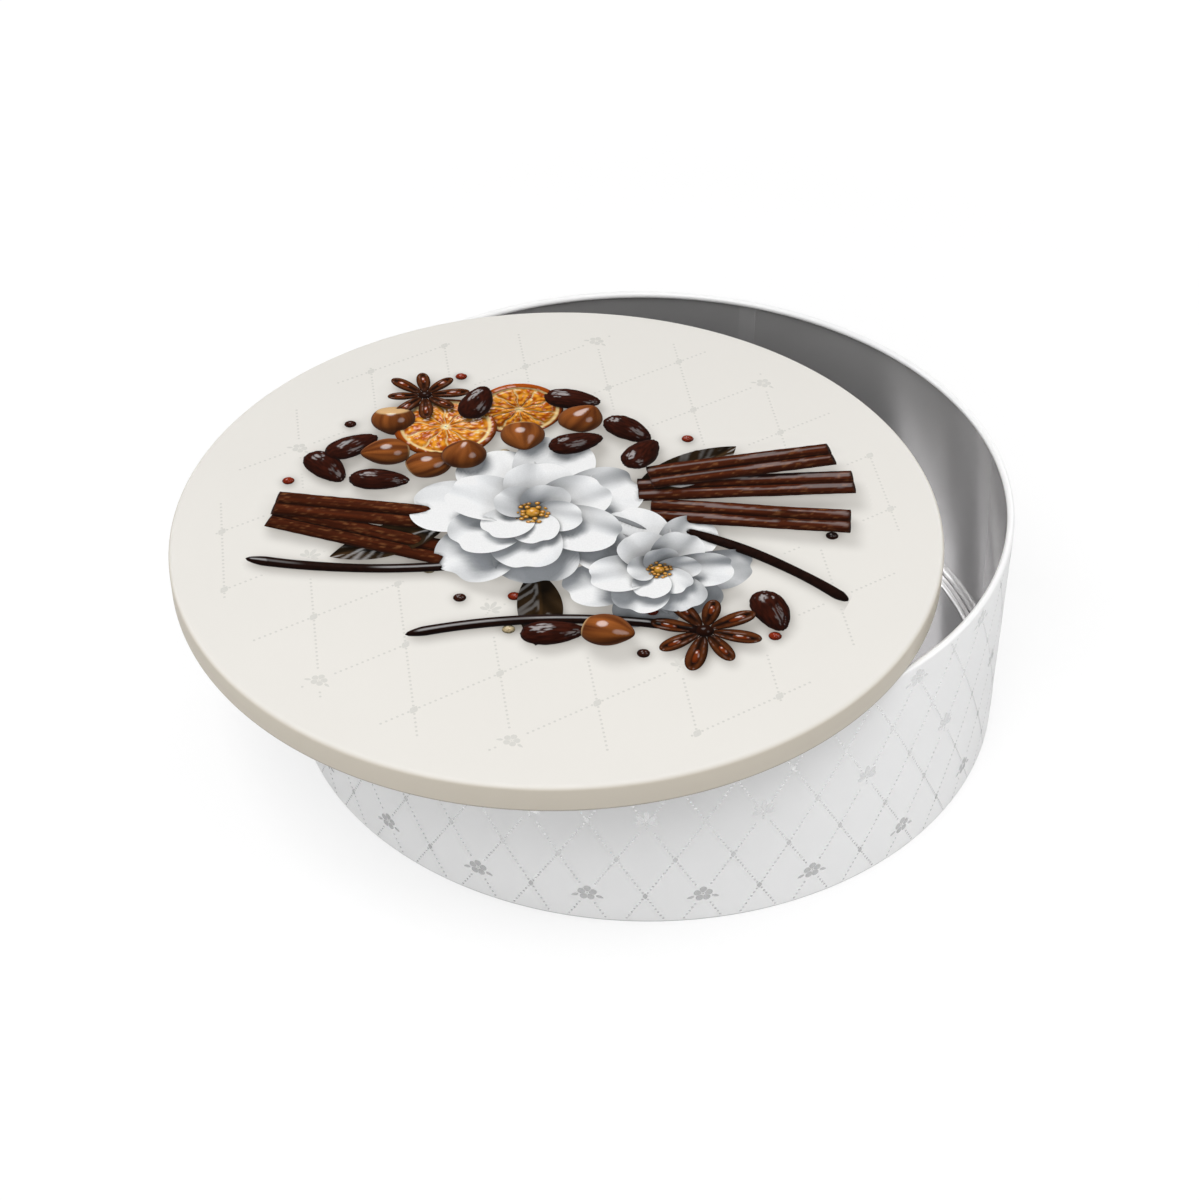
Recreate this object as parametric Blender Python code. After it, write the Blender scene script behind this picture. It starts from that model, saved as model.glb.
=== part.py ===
"""Round tin box with a loose lift-off lid, lying open: the lid is laid across the rim.

Three pieces of thin tinplate: a rolled wall with a curled rim and a hooked foot, a base disc whose
turned-down edge hangs in that hook, and a drawn lid with a rounded shoulder and a curled hem.
Lengths are in metres, +Z is up, and the tin stands on z = 0. The origin is the middle of the
footprint that the open tin and its shifted lid take up together.
"""
import math

import bmesh
import bpy
from mathutils import Matrix

# Driving sizes of the tin
BODY_DIAMETER = 0.2000
BODY_HEIGHT = 0.0660
SHEET = 0.0003
SEAT_GAP = 0.0003

# Wall: the rim's inward curl, the foot's hook and the side seam
RIM_CURL_RADIUS = 0.0010
HOOK_BEND_INSIDE = 0.00015
HOOK_HEIGHT = 0.0018
SEAM_WIDTH = 0.0050
SEAM_PROUD = 0.0003

# Base: the floor's height and the bend at its edge
FLOOR_HEIGHT = 0.0030
BASE_BEND_INSIDE = 0.0005

# Lid: its depth, its bends, the play between its hem and the wall, and where it lies
LID_HEIGHT = 0.0077
LID_SHOULDER_RADIUS = 0.0013
LID_CURL_INSIDE = 0.00025
LID_PLAY = 0.0004
LID_SHIFT_X = 0.0234
LID_SHIFT_Y = 0.0261

# Counts: facets round the tin, steps in each kind of bend, and the facet that carries the seam
FACETS = 72
CURL_STEPS = 10
HEM_STEPS = 8
SHOULDER_STEPS = 5
BEND_STEPS = 3
SEAM_FACET = 14

# Points nearer to each other than this are one point
WELD = 0.00001

# Angles of an outline's four sides, seen with the tin's axis on the left
OUTWARD = 0.0
UP = math.radians(90)
INWARD = math.radians(180)
DOWN = math.radians(270)
FULL_TURN = math.radians(360)

# Sizes that follow
body_radius = BODY_DIAMETER / 2
wall_inside = body_radius - SHEET
hook_bend = HOOK_BEND_INSIDE + SHEET
hook_lip_face = wall_inside - 2 * SEAT_GAP - 2 * SHEET
base_bend = BASE_BEND_INSIDE + SHEET
base_radius = wall_inside - SEAT_GAP
lid_curl = LID_CURL_INSIDE + SHEET
lid_radius = body_radius + LID_PLAY + 2 * lid_curl
body_x = (LID_SHIFT_X + lid_radius - body_radius) / 2
body_y = (LID_SHIFT_Y + lid_radius - body_radius) / 2
lid_x = body_x - LID_SHIFT_X
lid_y = body_y - LID_SHIFT_Y
lid_z = BODY_HEIGHT + SEAT_GAP


def material(name, colour, roughness, metallic):
    """A Principled BSDF material in the piece's own colour."""
    mat = bpy.data.materials.new(name)
    mat.use_nodes = True
    shader = mat.node_tree.nodes["Principled BSDF"]
    shader.inputs["Base Color"].default_value = (*colour, 1.0)
    shader.inputs["Roughness"].default_value = roughness
    shader.inputs["Metallic"].default_value = metallic
    return mat


def bend(x, z, radius, start, end, steps):
    """A bend in the sheet, counter-clockwise about (x, z). radius is to the sheet's outer face."""
    turns = [start + (end - start) * step / steps for step in range(steps + 1)]
    return [(x, z, radius, turn) for turn in turns]


def edge(x, z, radius, side):
    """Where the sheet's run stops: level with (x, z), its outer face radius away on that side."""
    return [(x, z, radius, side)]


def curl_opening(radius):
    """Angle that a curl stays short of a full turn, so its free edge keeps clear of its own sheet."""
    return math.acos((radius - SHEET - SEAT_GAP) / radius)


def sheet_outline(run):
    """Closed outline of a sheet: along the run on the outer face, and back on the inner face."""
    faces = []
    for depth in (0.0, SHEET):
        points = []
        for x, z, radius, turn in run:
            reach = radius - depth
            points.append((x + reach * math.cos(turn), z + reach * math.sin(turn)))
        faces.append(points)
    return faces[0] + faces[1][::-1]


def revolve(name, outline, mat):
    """Spin a closed outline once round Z, and leave out the edge that lies on the axis."""
    bm = bmesh.new()
    verts = [bm.verts.new((x if x > WELD else 0.0, 0.0, z)) for x, z in outline]
    edges = []
    for first, second in zip(verts, verts[1:] + verts[:1]):
        if first.co.x > 0.0 or second.co.x > 0.0:
            edges.append(bm.edges.new((first, second)))
    bmesh.ops.spin(
        bm, geom=verts + edges, axis=(0, 0, 1), cent=(0, 0, 0),
        angle=FULL_TURN, steps=FACETS, use_merge=True,
    )
    bmesh.ops.remove_doubles(bm, verts=bm.verts, dist=WELD)
    bmesh.ops.recalc_face_normals(bm, faces=bm.faces)
    mesh = bpy.data.meshes.new(name)
    bm.to_mesh(mesh)
    bm.free()
    mesh.shade_smooth()
    mesh.set_sharp_from_angle(angle=math.radians(40))
    obj = bpy.data.objects.new(name, mesh)
    obj.data.materials.append(mat)
    bpy.context.collection.objects.link(obj)
    return obj


def seam_strip():
    """The folded side seam's inner layer: a flat strip that lies on one facet inside the wall."""
    facet = FULL_TURN / FACETS
    facet_depth = wall_inside * math.cos(facet / 2)
    sunk = SHEET / 2
    bottom = FLOOR_HEIGHT + SEAT_GAP
    top = BODY_HEIGHT - 2 * RIM_CURL_RADIUS - SEAT_GAP
    size = (SEAM_PROUD + sunk, SEAM_WIDTH, top - bottom)
    middle = (facet_depth + (sunk - SEAM_PROUD) / 2, 0.0, (top + bottom) / 2)
    bm = bmesh.new()
    bmesh.ops.create_cube(bm, size=1.0)
    bmesh.ops.scale(bm, vec=size, verts=bm.verts)
    bmesh.ops.translate(bm, vec=middle, verts=bm.verts)
    turned = Matrix.Rotation(facet * (SEAM_FACET + 0.5), 3, "Z")
    bmesh.ops.rotate(bm, cent=(0, 0, 0), matrix=turned, verts=bm.verts)
    mesh = bpy.data.meshes.new("seam_strip")
    bm.to_mesh(mesh)
    bm.free()
    obj = bpy.data.objects.new("seam_strip", mesh)
    obj.hide_render = True
    obj.display_type = "WIRE"
    bpy.context.collection.objects.link(obj)
    return obj


def body_wall(mat):
    """Rolled wall: hooked foot, straight side, inward curl at the rim, and the seam's strip."""
    lip_x = hook_lip_face + hook_bend
    foot_x = body_radius - hook_bend
    rim_x = body_radius - RIM_CURL_RADIUS
    rim_z = BODY_HEIGHT - RIM_CURL_RADIUS
    curl_end = FULL_TURN - curl_opening(RIM_CURL_RADIUS)
    run = edge(lip_x, HOOK_HEIGHT, hook_bend, INWARD)
    run += bend(lip_x, hook_bend, hook_bend, INWARD, DOWN, BEND_STEPS)
    run += bend(foot_x, hook_bend, hook_bend, DOWN, FULL_TURN, BEND_STEPS)
    run += bend(rim_x, rim_z, RIM_CURL_RADIUS, OUTWARD, curl_end, CURL_STEPS)
    obj = revolve("body_wall", sheet_outline(run), mat)
    strip = seam_strip()
    union = obj.modifiers.new("side_seam", "BOOLEAN")
    union.operation = "UNION"
    union.solver = "EXACT"
    union.object = strip
    return obj, strip


def base_disc(mat):
    """Flat floor whose edge turns down into the wall's hook."""
    edge_x = base_radius - base_bend
    skirt_end = SHEET + SEAT_GAP
    bend_z = FLOOR_HEIGHT - base_bend
    run = edge(edge_x, skirt_end, base_bend, OUTWARD)
    run += bend(edge_x, bend_z, base_bend, OUTWARD, UP, BEND_STEPS)
    run += edge(0.0, bend_z, base_bend, UP)
    return revolve("base_disc", sheet_outline(run), mat)


def lid_cap(mat):
    """Drawn lid: curled hem, skirt, rounded shoulder and flat top."""
    curl_x = lid_radius - lid_curl
    curl_start = curl_opening(lid_curl)
    shoulder_x = lid_radius - LID_SHOULDER_RADIUS
    shoulder_z = LID_HEIGHT - LID_SHOULDER_RADIUS
    run = bend(curl_x, lid_curl, lid_curl, curl_start, FULL_TURN, HEM_STEPS)
    run += bend(shoulder_x, shoulder_z, LID_SHOULDER_RADIUS, OUTWARD, UP, SHOULDER_STEPS)
    run += edge(0.0, shoulder_z, LID_SHOULDER_RADIUS, UP)
    return revolve("lid", sheet_outline(run), mat)


for old in list(bpy.data.objects):
    bpy.data.objects.remove(old, do_unlink=True)

white_lacquer = material("white_lacquer", (0.80, 0.80, 0.80), 0.35, 0.0)
bare_tinplate = material("bare_tinplate", (0.50, 0.50, 0.51), 0.25, 1.0)
cream_lacquer = material("cream_lacquer", (0.78, 0.76, 0.71), 0.40, 0.0)

tin = bpy.data.objects.new("tin", None)
tin.location = (body_x, body_y, 0.0)
bpy.context.collection.objects.link(tin)

wall, strip = body_wall(white_lacquer)
base = base_disc(bare_tinplate)
for piece in (wall, strip, base):
    piece.parent = tin

lid = lid_cap(cream_lacquer)
lid.location = (lid_x, lid_y, lid_z)
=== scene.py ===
# %% [markdown]
# # A round tin box, lying open
#
# The object is a wide, low biscuit tin. Its wall is rolled from printed tinplate, its rim is
# curled inward, and a cream lid lies across it, moved off centre so that the bare metal inside
# can be seen. A quiet lattice of dots is printed on both, with a flower picture on the lid.
#
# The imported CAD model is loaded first. It fixes every size and place, and what is built here
# only stands in for its pieces with smoother turning, lacquer, print and metal.

import math

import bmesh
import bpy
from mathutils import Matrix, Vector, noise
from mathutils.bvhtree import BVHTree


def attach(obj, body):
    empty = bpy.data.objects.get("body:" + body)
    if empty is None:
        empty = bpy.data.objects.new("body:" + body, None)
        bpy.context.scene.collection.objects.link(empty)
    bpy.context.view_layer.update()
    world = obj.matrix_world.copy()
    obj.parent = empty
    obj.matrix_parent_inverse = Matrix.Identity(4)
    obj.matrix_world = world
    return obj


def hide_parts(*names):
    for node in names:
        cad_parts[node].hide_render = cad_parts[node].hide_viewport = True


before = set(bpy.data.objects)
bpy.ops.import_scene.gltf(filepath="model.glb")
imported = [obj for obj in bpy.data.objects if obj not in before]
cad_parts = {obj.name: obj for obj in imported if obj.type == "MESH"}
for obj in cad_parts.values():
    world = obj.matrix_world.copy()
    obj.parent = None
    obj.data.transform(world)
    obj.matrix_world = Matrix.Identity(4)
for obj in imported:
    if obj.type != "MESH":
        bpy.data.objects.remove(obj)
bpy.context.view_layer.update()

# %% [markdown]
# ## Sizes
#
# The sizes are those of the CAD source, in metres. Those of the base's bead are new, and so are
# two coats: lacquer and ink have a thickness here, so that each print lies on top of the sheet
# as real ink does. The sheet is made that much smaller, and the printed tin is then exactly as
# large as the CAD.

# %% Sizes of the tin
MM = 0.001

BODY_RADIUS = 100.0 * MM
BODY_HEIGHT = 66.0 * MM
SHEET = 0.3 * MM
SEAT_GAP = 0.3 * MM
RIM_CURL_RADIUS = 1.0 * MM
HOOK_BEND = 0.45 * MM
HOOK_HEIGHT = 1.8 * MM
FLOOR_HEIGHT = 3.0 * MM
BASE_BEND = 0.8 * MM
BEAD_RADIUS = 1.2 * MM
BEAD_INSET = 2.6 * MM
LID_HEIGHT = 7.7 * MM
LID_RADIUS = 101.5 * MM
LID_SHOULDER_RADIUS = 1.3 * MM
LID_CURL = 0.55 * MM
SEAM_WIDTH = 5.0 * MM
SEAM_AZIMUTH = math.radians(72.5)

BODY_CENTRE = Vector((12.45 * MM, 13.8 * MM, 0.0))
LID_CENTRE = Vector((-10.95 * MM, -12.3 * MM, BODY_HEIGHT + SEAT_GAP))

WALL_INK_DEPTH = 0.03 * MM
LID_INK_DEPTH = 0.08 * MM

wall_radius = BODY_RADIUS - WALL_INK_DEPTH
wall_inside = wall_radius - SHEET
lid_top = LID_HEIGHT - LID_INK_DEPTH
print("wall", wall_radius / MM, "mm, lid top", round(lid_top / MM, 2), "mm above its hem")

# %% [markdown]
# ## Camera
#
# The photograph looks down at the tin at about 40 degrees with a lens a little longer than
# normal. The camera's place was worked out from the ellipses of the rim, the foot and the lid.

# %% Camera
CAMERA_PLACE = Vector((0.01245, -0.52045, 0.46541))
CAMERA_TARGET = Vector((-0.00097, 0.04478, 0.0))

camera_data = bpy.data.cameras.new("camera")
camera_data.lens = 73.08
camera_data.sensor_width = 36.0
camera_data.clip_start = 0.01
camera = bpy.data.objects.new("camera", camera_data)
camera.location = CAMERA_PLACE
camera.rotation_euler = (CAMERA_TARGET - CAMERA_PLACE).to_track_quat("-Z", "Y").to_euler()
bpy.context.collection.objects.link(camera)
bpy.context.scene.camera = camera
bpy.context.scene.view_settings.view_transform = "Standard"
print("camera looks", round((CAMERA_TARGET - CAMERA_PLACE).length, 3), "m to the tin")

# %% [markdown]
# ## Tools for materials and meshes
#
# A material is a small tree of nodes. One function adds a node, sets its options and fills its
# sockets with a value or with another node's output. A second one turns the hex colour that a
# designer would write into the linear numbers that the renderer works with. A Mix node of
# colours takes its factor in socket 0, its colours in 6 and 7, and gives the result in 2. A Map
# Range node takes a value in socket 0, its two source limits in 1 and 2, and its new ones in 3
# and 4. Noise mostly stays between 0.3 and 0.7, so those are the limits where noise is rescaled.
# A mesh is made in a bmesh, and it becomes an object when it is finished.

# %% Node and colour helpers
def linear(code):
    """Linear colour with alpha 1 from an sRGB hex code such as #F4F1EA."""
    channels = []
    for start in (1, 3, 5):
        level = int(code[start:start + 2], 16) / 255
        channels.append(level / 12.92 if level <= 0.04045 else ((level + 0.055) / 1.055) ** 2.4)
    return (*channels, 1.0)


def add(tree, kind, sockets=None, **options):
    """Add a node: options are its settings, sockets maps an input to a value or an output."""
    made = tree.nodes.new(kind)
    for option, value in options.items():
        setattr(made, option, value)
    for key, value in (sockets or {}).items():
        if isinstance(value, bpy.types.NodeSocket):
            tree.links.new(value, made.inputs[key])
        else:
            made.inputs[key].default_value = value
    return made


def new_material(name):
    """An empty node material: its tree, its output node, and the piece's own coordinates."""
    mat = bpy.data.materials.new(name)
    mat.use_nodes = True
    mat.node_tree.nodes.clear()
    output = add(mat.node_tree, "ShaderNodeOutputMaterial")
    place = add(mat.node_tree, "ShaderNodeTexCoord").outputs["Object"]
    return mat, mat.node_tree, output, place


def per(size):
    """Noise scale that makes cells of this size, in metres."""
    return 1.0 / size


NOISE_LOW, NOISE_HIGH = 0.3, 0.7


def clouded(tree, place, size, colours, detail=2.0):
    """Two tones that run into each other in clouds of one size: the clouds, and the colour."""
    cloud = add(tree, "ShaderNodeTexNoise", {"Vector": place, "Scale": per(size),
                                             "Detail": detail}).outputs["Fac"]
    colour = add(tree, "ShaderNodeMix", {0: cloud, 6: linear(colours[0]), 7: linear(colours[1])},
                 data_type="RGBA").outputs[2]
    return cloud, colour


print("cream in linear light:", [round(value, 3) for value in linear("#EAE6DE")])

# %% Mesh to object
def as_object(bm, name, mats):
    """Make the finished mesh an object in these materials."""
    mesh = bpy.data.meshes.new(name)
    bm.to_mesh(mesh)
    bm.free()
    for mat in mats:
        mesh.materials.append(mat)
    made = bpy.data.objects.new(name, mesh)
    bpy.context.collection.objects.link(made)
    return made


print("tool: as_object")

# %% [markdown]
# ## Floor, backdrop and lamps
#
# The tin stands on a white sweep that is lit until it reads as pure white, with only a soft
# darkening under the overhanging lid. The floor is a real white surface, so it keeps the shadow,
# and it adds a little glow of its own for the camera only. The glow is weaker where the tin
# stands close by on the right, which is the side that the light comes from, and far away it
# takes over, so that the floor runs into the white backdrop without a line.

# %% Paper of the floor
SHADE_REACH = 24.0 * MM
LIGHT_SIDE = (0.9, -0.25, 0.0)
CLOSED_IN = 0.4
SHADED_GLOW, OPEN_GLOW = 1.02, 1.17
NEAR, FAR = 0.3, 1.2
GLOW_SHARE = 0.68

floor_mat, tree, output, place = new_material("matt_white_paper_sweep")
paper = add(tree, "ShaderNodeBsdfDiffuse", {"Color": linear("#DCDCDC")})
upright = add(tree, "ShaderNodeNewGeometry").outputs["Normal"]
leant = add(tree, "ShaderNodeVectorMath", {0: upright, 1: LIGHT_SIDE}, operation="ADD")
facing = add(tree, "ShaderNodeVectorMath", {0: leant.outputs[0]}, operation="NORMALIZE")
# Ambient occlusion dims the floor's glow next to the tin: a painted shadow on the floor.
opening = add(tree, "ShaderNodeAmbientOcclusion", {"Distance": SHADE_REACH,
                                                   "Normal": facing.outputs[0]}, samples=16)
strength = add(tree, "ShaderNodeMapRange", {0: opening.outputs["AO"], 1: CLOSED_IN,
                                            3: SHADED_GLOW, 4: OPEN_GLOW})
glow = add(tree, "ShaderNodeEmission", {"Color": linear("#FFFFFF"),
                                        "Strength": strength.outputs[0]})
path = add(tree, "ShaderNodeLightPath")
reach = add(tree, "ShaderNodeVectorMath", {0: place}, operation="LENGTH").outputs["Value"]
share = add(tree, "ShaderNodeMapRange", {0: reach, 1: NEAR, 2: FAR, 3: GLOW_SHARE, 4: 1.0})
seen = add(tree, "ShaderNodeMath", {0: path.outputs["Is Camera Ray"], 1: share.outputs[0]},
           operation="MULTIPLY")
shown = add(tree, "ShaderNodeMixShader", {0: seen.outputs[0], 1: paper.outputs[0],
                                          2: glow.outputs[0]})
tree.links.new(shown.outputs[0], output.inputs["Surface"])
print("made", floor_mat.name)

# %% Floor
FLOOR_HALF = 1.6

bm = bmesh.new()
bmesh.ops.create_grid(bm, x_segments=1, y_segments=1, size=FLOOR_HALF)
floor = as_object(bm, "floor", (floor_mat,))
print("floor", 2 * FLOOR_HALF, "m wide")

# %% World
FILL_LIGHT, BACKDROP = 0.13, 1.0

world = bpy.data.worlds.new("white_studio")
bpy.context.scene.world = world
world.use_nodes = True
tree = world.node_tree
tree.nodes.clear()
path = add(tree, "ShaderNodeLightPath")
fill = add(tree, "ShaderNodeBackground", {"Color": linear("#FFFFFF"), "Strength": FILL_LIGHT})
white = add(tree, "ShaderNodeBackground", {"Color": linear("#FFFFFF"), "Strength": BACKDROP})
mirror = add(tree, "ShaderNodeMath", {0: path.outputs["Is Camera Ray"],
                                      1: path.outputs["Is Glossy Ray"]}, operation="MAXIMUM")
sky = add(tree, "ShaderNodeMixShader", {0: mirror.outputs[0], 1: fill.outputs[0],
                                        2: white.outputs[0]})
add(tree, "ShaderNodeOutputWorld", {"Surface": sky.outputs[0]})
print("made", world.name)

# %% Lamps
def soft_box(name, place, aim, size, power):
    """A rectangular lamp that faces a point."""
    lamp = bpy.data.lights.new(name, "AREA")
    lamp.shape = "RECTANGLE"
    lamp.size, lamp.size_y = size
    lamp.energy = power
    holder = bpy.data.objects.new(name, lamp)
    holder.location = place
    holder.rotation_euler = (Vector(aim) - Vector(place)).to_track_quat("-Z", "Y").to_euler()
    bpy.context.collection.objects.link(holder)


LAMPS = (
    ("high_front_box", (-0.15, -0.6, 1.4), (0.0, 0.0, 0.0), (1.2, 0.9), 9.3),
    ("left_front_box", (-0.45, -1.0, 1.0), (0.0, 0.0, 0.03), (0.9, 0.9), 8.5),
    ("right_box", (1.4, -0.1, 0.55), (0.0, 0.0, 0.03), (0.7, 0.7), 7.9),
    ("back_left_box", (-1.2, 0.5, 0.9), (0.0, 0.0, 0.05), (0.7, 1.0), 6.4),
    ("back_box", (0.7, 1.3, 0.8), (0.0, 0.0, 0.05), (0.35, 0.9), 3.9),
)
for lamp in LAMPS:
    soft_box(*lamp)
    print("lamp", lamp[0], lamp[4], "W")

# %% [markdown]
# ## Lacquers and metal
#
# Tinplate is thin steel with a bright coat of tin. It is rolled, so fine streaks run one way
# and blur what it mirrors, more so on the stamped base than on the wall. Outside it carries a
# roller-coated enamel, baked and varnished: a semi-gloss skin with the slight waviness called
# orange peel. Real peel has waves of a few tenths of a millimetre, which would be too fine to
# show, so it is drawn coarser. A darker line is painted along the wall's foot and the lid's hem:
# painted shade where the sheet turns under.

# %% White enamel
PEEL = 1.6 * MM
PEEL_HEIGHT = 0.02 * MM
WHITE_CLOUD = 30 * MM
FOOT_SHADE_LINE = (0.25 * MM, 0.60 * MM)


def orange_peel(tree, place):
    """The faint waves of a rolled-on coat, as a bumped normal."""
    ripple = add(tree, "ShaderNodeTexNoise", {"Vector": place, "Scale": per(PEEL),
                                              "Detail": 1.0}).outputs["Fac"]
    return add(tree, "ShaderNodeBump", {"Height": ripple, "Strength": 0.12,
                                        "Distance": PEEL_HEIGHT}).outputs[0]


def white_enamel_on_wall(name, colours, roughness):
    """A baked, varnished enamel: colours are (deepest, palest) of its faint cloudiness."""
    mat, tree, output, place = new_material(name)
    cloud, coat = clouded(tree, place, WHITE_CLOUD, colours)
    height = add(tree, "ShaderNodeSeparateXYZ", {"Vector": place}).outputs["Z"]
    # Painted shade: the colour turns darker grey along the foot, where the sheet turns under.
    fold = add(tree, "ShaderNodeMapRange", {0: height, 1: FOOT_SHADE_LINE[0], 2: FOOT_SHADE_LINE[1],
                                            3: 1.0, 4: 0.0}).outputs[0]
    colour = add(tree, "ShaderNodeMix", {0: fold, 6: coat, 7: linear("#A9A9A9")},
                 data_type="RGBA").outputs[2]
    sheen = add(tree, "ShaderNodeMapRange", {
        0: cloud, 1: NOISE_LOW, 2: NOISE_HIGH, 3: roughness - 0.03, 4: roughness + 0.03,
    }).outputs[0]
    skin = add(tree, "ShaderNodeBsdfPrincipled", {
        "Base Color": colour, "Roughness": sheen, "Normal": orange_peel(tree, place),
        "IOR": 1.5,
    })
    tree.links.new(skin.outputs[0], output.inputs["Surface"])
    return mat


white_enamel = white_enamel_on_wall("white_roller_coated_enamel", ("#F7F7F7", "#FAFAFA"), 0.34)
print("made", white_enamel.name)

# %% Cream enamel, with a deeper taupe and painted shade on the skirt
CREAM_CLOUD = 40 * MM
SHOULDER_SHADE_FADE = (0.9 * MM, 0.05 * MM)
HEM_SHADE_LINE = (0.35 * MM, 0.75 * MM)


def cream_enamel_colour(tree, place):
    """Colour of the lid's enamel: cream on top, and round the skirt a taupe that is part deeper
    tone, part painted shade.
    """
    height = add(tree, "ShaderNodeSeparateXYZ", {"Vector": place}).outputs["Z"]
    top = LID_CENTRE.z + lid_top
    # The taupe reaches up onto the shoulder, so painted shade dulls the light that the shoulder
    # catches.
    ramp = add(tree, "ShaderNodeMapRange", {0: height, 1: top - SHOULDER_SHADE_FADE[0],
                                            2: top - SHOULDER_SHADE_FADE[1]}).outputs[0]
    # Painted shade: a darker line along the hem, where the sheet curls under.
    hem = add(tree, "ShaderNodeMapRange", {0: height, 1: LID_CENTRE.z + HEM_SHADE_LINE[0],
                                           2: LID_CENTRE.z + HEM_SHADE_LINE[1], 3: 1.0,
                                           4: 0.0}).outputs[0]
    cream = clouded(tree, place, CREAM_CLOUD, ("#E4E1DB", "#E7E4DE"))[1]
    # The skirt's taupe is part deeper tone and part painted shade for the side turned away from
    # the top light.
    taupe = clouded(tree, place, CREAM_CLOUD, ("#C8C0B2", "#CDC5B7"))[1]
    skirt = add(tree, "ShaderNodeMix", {0: hem, 6: taupe, 7: linear("#978E80")},
                data_type="RGBA").outputs[2]
    return add(tree, "ShaderNodeMix", {0: ramp, 6: skirt, 7: cream},
               data_type="RGBA").outputs[2]


def cream_enamel(name):
    """The lid's semi-gloss enamel."""
    mat, tree, output, place = new_material(name)
    skin = add(tree, "ShaderNodeBsdfPrincipled", {
        "Base Color": cream_enamel_colour(tree, place), "Roughness": 0.46,
        "Normal": orange_peel(tree, place), "IOR": 1.5, "Specular IOR Level": 0.35,
    })
    tree.links.new(skin.outputs[0], output.inputs["Surface"])
    return mat


lid_enamel = cream_enamel("cream_roller_coated_enamel")
print("made", lid_enamel.name)

# %% Bare tinplate
STREAK = 0.6 * MM
STREAK_HEIGHT = 0.01 * MM
FLOW = 14 * MM


def tinplate(name, colours, along, roughness, metallic=0.66):
    """Bright tinned steel. along scales the coordinates so that the rolling streaks run."""
    mat, tree, output, place = new_material(name)
    rolled = add(tree, "ShaderNodeMapping", {"Vector": place, "Scale": along}).outputs[0]
    streak = add(tree, "ShaderNodeTexNoise", {"Vector": rolled, "Scale": per(STREAK),
                                              "Detail": 3.0}).outputs["Fac"]
    flow, colour = clouded(tree, place, FLOW, colours, 3.0)
    bump = add(tree, "ShaderNodeBump", {"Height": streak, "Strength": 0.25,
                                        "Distance": STREAK_HEIGHT})
    sheen = add(tree, "ShaderNodeMapRange", {
        0: flow, 1: NOISE_LOW, 2: NOISE_HIGH, 3: roughness - 0.02, 4: roughness + 0.02,
    }).outputs[0]
    metal = add(tree, "ShaderNodeBsdfPrincipled", {
        "Base Color": colour, "Metallic": metallic, "Roughness": sheen,
        "Normal": bump.outputs[0],
    })
    tree.links.new(metal.outputs[0], output.inputs["Surface"])
    return mat


wall_tinplate = tinplate("rolled_tinplate_wall", ("#E4E3E3", "#E8E7E7"), (1.0, 1.0, 0.06),
                         0.125)
# The base is the same tinplate as the wall in a much darker colour: painted shade for the floor
# inside the tin.
shaded_base_tinplate = tinplate("shaded_stamped_tinplate_base", ("#979697", "#9D9C9D"), (0.06, 1.0, 1.0),
                         0.20)
# The lid's inside is the same tinplate in a darker colour: painted shade, which also sends less
# light onto the wall under the skirt.
shaded_lid_tinplate = tinplate("shaded_tinplate_lid_inside", ("#8E8E90", "#98989A"),
                        (0.06, 1.0, 1.0), 0.36, 0.9)
print("made", wall_tinplate.name, shaded_base_tinplate.name, "and", shaded_lid_tinplate.name)

# %% [markdown]
# ## Turned sheet
#
# Every piece of the tin is one thin sheet with bends in it. The sheet's outer face is drawn
# as a line in a plane through the axis: straight runs are extruded and bends are spun about
# their own centres. One full spin turns the line into a skin, and the skin then gets the
# sheet's thickness inward, which keeps the printed side and the bare side apart.

# %% Drawing an outline
BEND_STEPS, CURL_STEPS, BEAD_STEPS = 10, 20, 12
FOOT_STEPS, HEM_STEPS = 6, 16
OUTWARD, UP, INWARD, DOWN = (math.radians(angle) for angle in (0, 90, 180, 270))
FULL_TURN = math.radians(360)


def start_line(bm, x, z):
    """First point of an outline."""
    return bm.verts.new((x, 0.0, z))


def run_to(bm, vert, x, z):
    """A straight run of sheet."""
    far = bmesh.ops.extrude_vert_indiv(bm, verts=[vert])["verts"][0]
    far.co = (x, 0.0, z)
    return far


def bend_about(bm, vert, x, z, angle, steps):
    """A bend, counter-clockwise about the centre (x, z)."""
    made = bmesh.ops.spin(bm, geom=[vert], cent=(x, 0.0, z), axis=(0, -1, 0), angle=angle,
                          steps=steps)
    return made["geom_last"][0]


def curl_opening(radius):
    """Angle that a curl stays short of a full turn."""
    return math.acos((radius - SHEET - SEAT_GAP) / radius)


print("tools: start_line, run_to, bend_about and curl_opening")

# %% Turning and finishing a piece
SEGMENTS = 256
WELD = 0.001 * MM


def spin_round(bm, angle, steps, **options):
    """Spin all that the bmesh holds about Z."""
    bmesh.ops.spin(bm, geom=bm.verts[:] + bm.edges[:] + bm.faces[:], cent=(0, 0, 0),
                   axis=(0, 0, 1), angle=angle, steps=steps, **options)


def turn_sheet(bm, centre):
    """Spin the outline into a skin about Z, thicken it inward and move it to its axis."""
    spin_round(bm, FULL_TURN, SEGMENTS, use_merge=True)
    bmesh.ops.remove_doubles(bm, verts=bm.verts, dist=WELD)
    bmesh.ops.recalc_face_normals(bm, faces=bm.faces)
    outer = set(bm.faces)
    bmesh.ops.solidify(bm, geom=bm.faces[:], thickness=SHEET)
    for face in bm.faces:
        face.material_index = 0 if face in outer else 1
    bmesh.ops.translate(bm, vec=centre, verts=bm.verts)


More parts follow.
